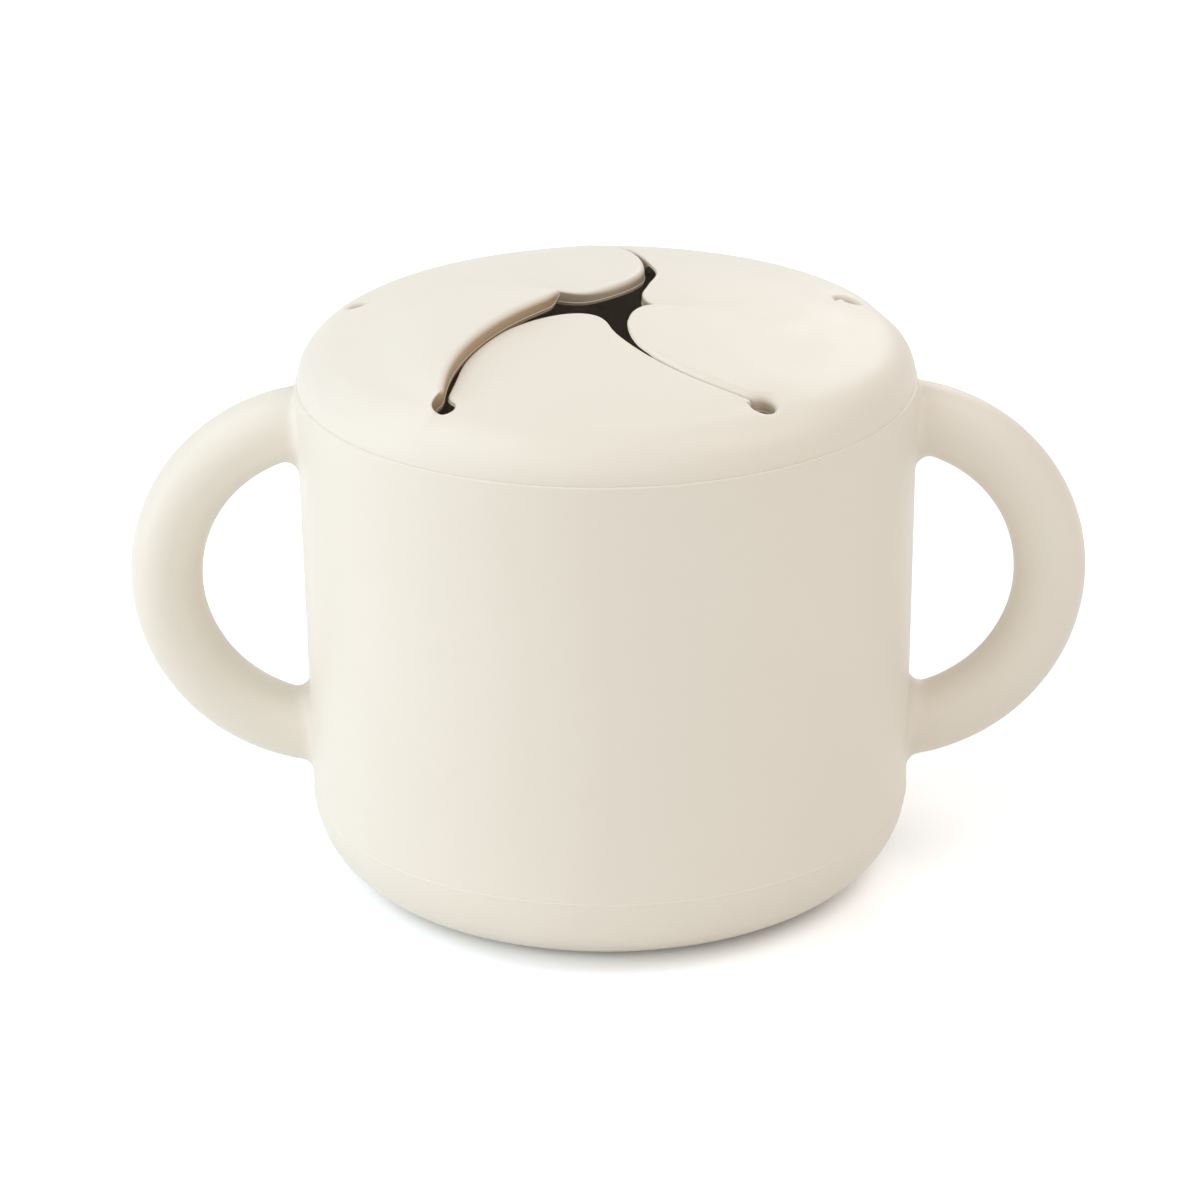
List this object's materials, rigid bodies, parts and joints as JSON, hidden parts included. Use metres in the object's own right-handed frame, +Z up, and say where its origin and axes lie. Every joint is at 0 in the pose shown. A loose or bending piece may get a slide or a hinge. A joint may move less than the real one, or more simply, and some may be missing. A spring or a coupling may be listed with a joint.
{
  "type": "toddler snack container",
  "caption": "Soft round cup with ring handles and a pull-off domed lid, slit into pinwheel flaps that let a small hand in and keep the snacks from spilling.",
  "frame": {"origin": "centre of the cup's base, on the surface that it stands on", "axes": "+Z up along the cup's axis, +X towards the right handle, -Y towards the front from which the picture is taken"},
  "size_m": [0.14, 0.09, 0.0886],
  "materials": {
    "cup_silicone": "matte cream food-grade silicone with a fine powdery surface",
    "lid_silicone": "matte ivory food-grade silicone, slightly softer and paler than the cup"
  },
  "bodies": {
    "cup": {"cup": "cup_silicone", "left_handle": "cup_silicone", "right_handle": "cup_silicone"},
    "lid": {"lid_ring": "lid_silicone"},
    "front_flap": {"front_flap": "lid_silicone"},
    "right_flap": {"right_flap": "lid_silicone"},
    "back_right_flap": {"back_right_flap": "lid_silicone"},
    "back_left_flap": {"back_left_flap": "lid_silicone"},
    "left_flap": {"left_flap": "lid_silicone"}
  },
  "joints": [
    {"name": "lid_pull_off", "type": "slide", "parent": "cup", "child": "lid", "axis": [0, 0, 1], "range_m": [0, 0.035]},
    {"name": "front_flap_bend", "type": "hinge", "parent": "lid", "child": "front_flap", "pos_m": [0, -0.03115, 0.0821], "axis": [-1, 0, 0], "range_deg": [-40, 75], "stiffness_Nm_per_rad": 0.03},
    {"name": "right_flap_bend", "type": "hinge", "parent": "lid", "child": "right_flap", "pos_m": [0.02963, -0.00963, 0.0821], "axis": [-0.309, -0.9511, 0], "range_deg": [-40, 75], "stiffness_Nm_per_rad": 0.03},
    {"name": "back_right_flap_bend", "type": "hinge", "parent": "lid", "child": "back_right_flap", "pos_m": [0.01831, 0.0252, 0.0821], "axis": [0.809, -0.5878, 0], "range_deg": [-40, 75], "stiffness_Nm_per_rad": 0.03},
    {"name": "back_left_flap_bend", "type": "hinge", "parent": "lid", "child": "back_left_flap", "pos_m": [-0.01831, 0.0252, 0.0821], "axis": [0.809, 0.5878, 0], "range_deg": [-38.5, 76.5], "stiffness_Nm_per_rad": 0.03},
    {"name": "left_flap_bend", "type": "hinge", "parent": "lid", "child": "left_flap", "pos_m": [-0.02963, -0.00963, 0.0821], "axis": [-0.309, 0.9511, 0], "range_deg": [-35, 80], "stiffness_Nm_per_rad": 0.03}
  ]
}
